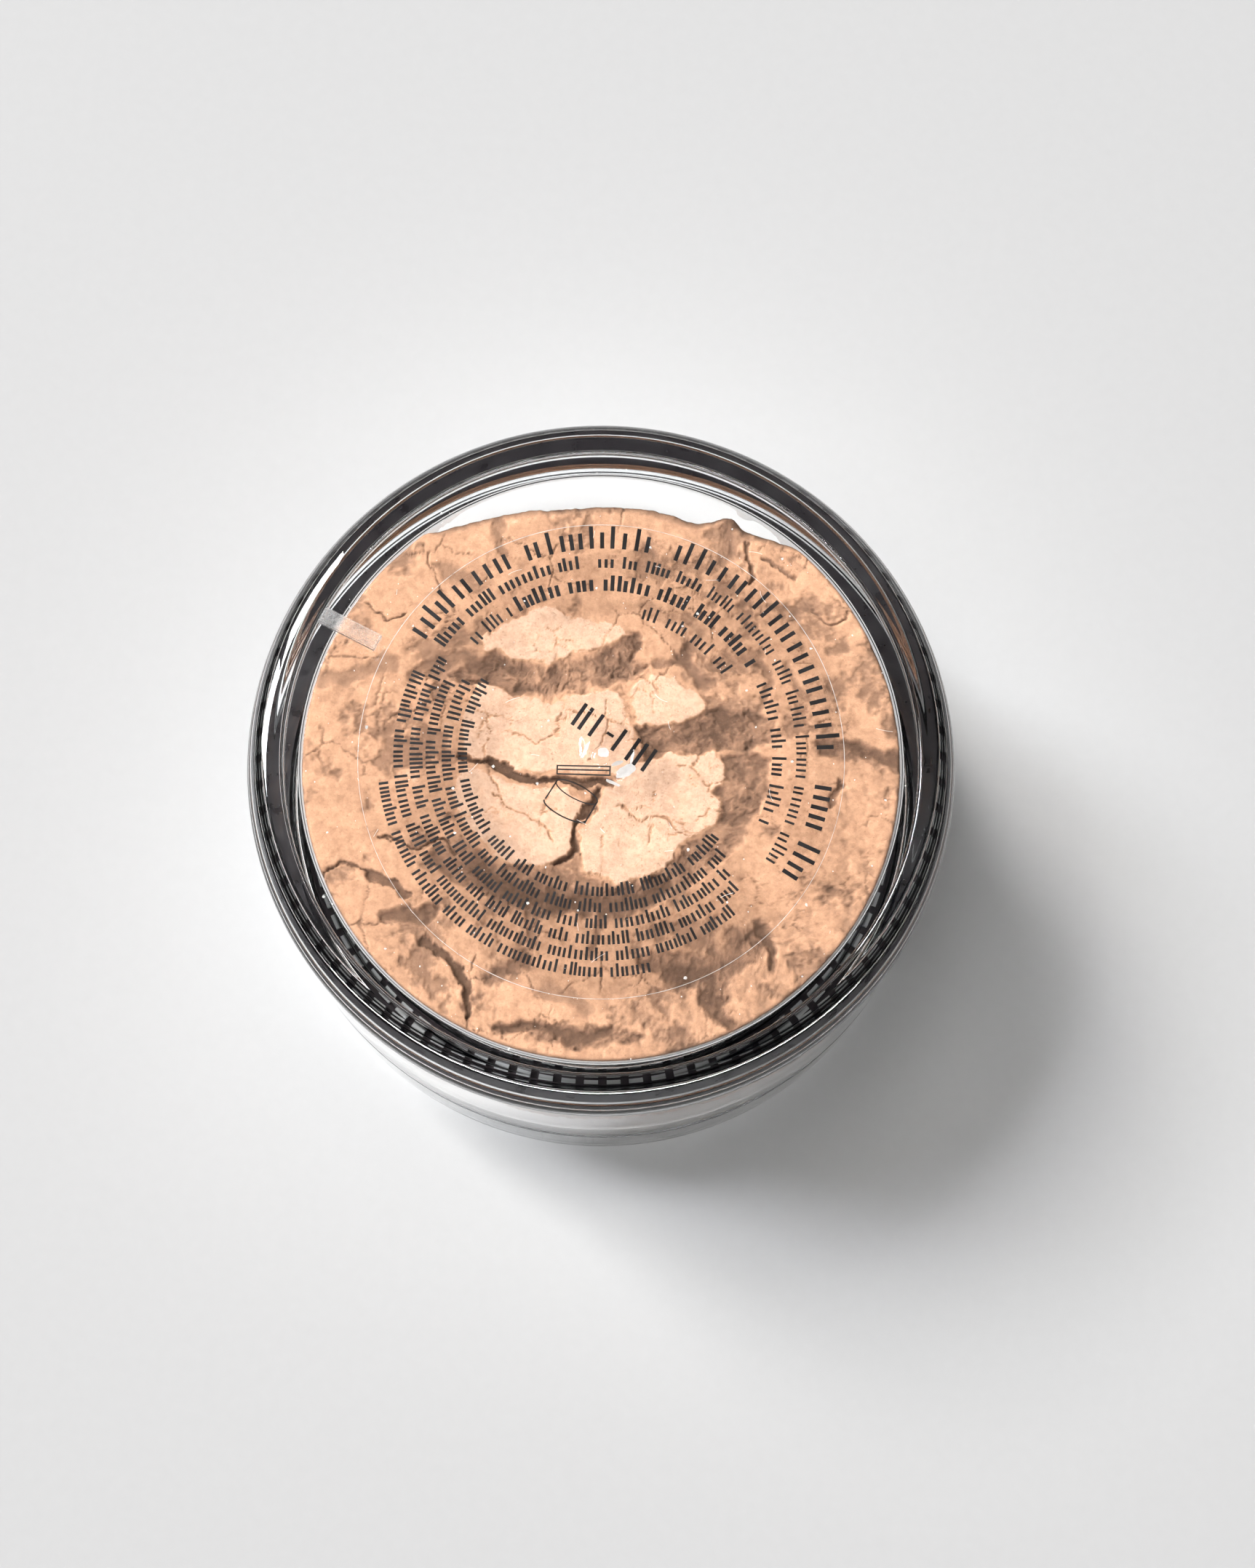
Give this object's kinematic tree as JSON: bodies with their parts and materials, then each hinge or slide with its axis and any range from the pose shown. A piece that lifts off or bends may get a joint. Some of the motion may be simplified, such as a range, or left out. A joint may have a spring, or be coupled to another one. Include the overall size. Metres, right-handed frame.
{
  "type": "loose powder jar",
  "caption": "Clear heavy-wall loose-powder sifter jar with a screw cap, standing upside-down on the cap with its labelled base on top.",
  "frame": {"origin": "centre of the bottom of the part, on the rim of the cap's face that the jar stands on", "axes": "+Z is the jar's axis and points from the cap to the labelled base, so the jar is upside-down; the bar-shaped key on the base points 154.5 degrees round from +X"},
  "size_m": [0.054, 0.054, 0.029],
  "materials": {
    "clear_jar": "clear, polished, with fine scratches",
    "clear_cap": "clear, polished",
    "dark_cap": "black moulded plastic",
    "label_film": "clear film with black print",
    "powder": "matte pressed loose powder, cracked",
    "white_plastic": "satin natural moulded plastic",
    "seal_film": "satin white film",
    "liner_foam": "fine closed-cell foam"
  },
  "bodies": {
    "cap": {"outer_cap": "clear_cap", "inner_cap": "dark_cap"},
    "liner": {"cap_liner": "liner_foam"},
    "jar": {"jar_body": "clear_jar", "base_label": "label_film", "powder_fill": "powder", "sifter": "white_plastic", "sifter_seal": "seal_film"}
  },
  "joints": [
    {"name": "unscrew", "type": "hinge", "parent": "cap", "child": "liner", "pos_m": [0, 0, 0], "axis": [0, 0, 1], "range_deg": [0, 600]},
    {"name": "thread_lift", "type": "slide", "parent": "liner", "child": "jar", "axis": [0, 0, 1], "range_m": [0, 0.01]}
  ],
  "couplings": [
    {"joint": "thread_lift", "follows": "unscrew", "m_per_rad": 0.00095493}
  ]
}
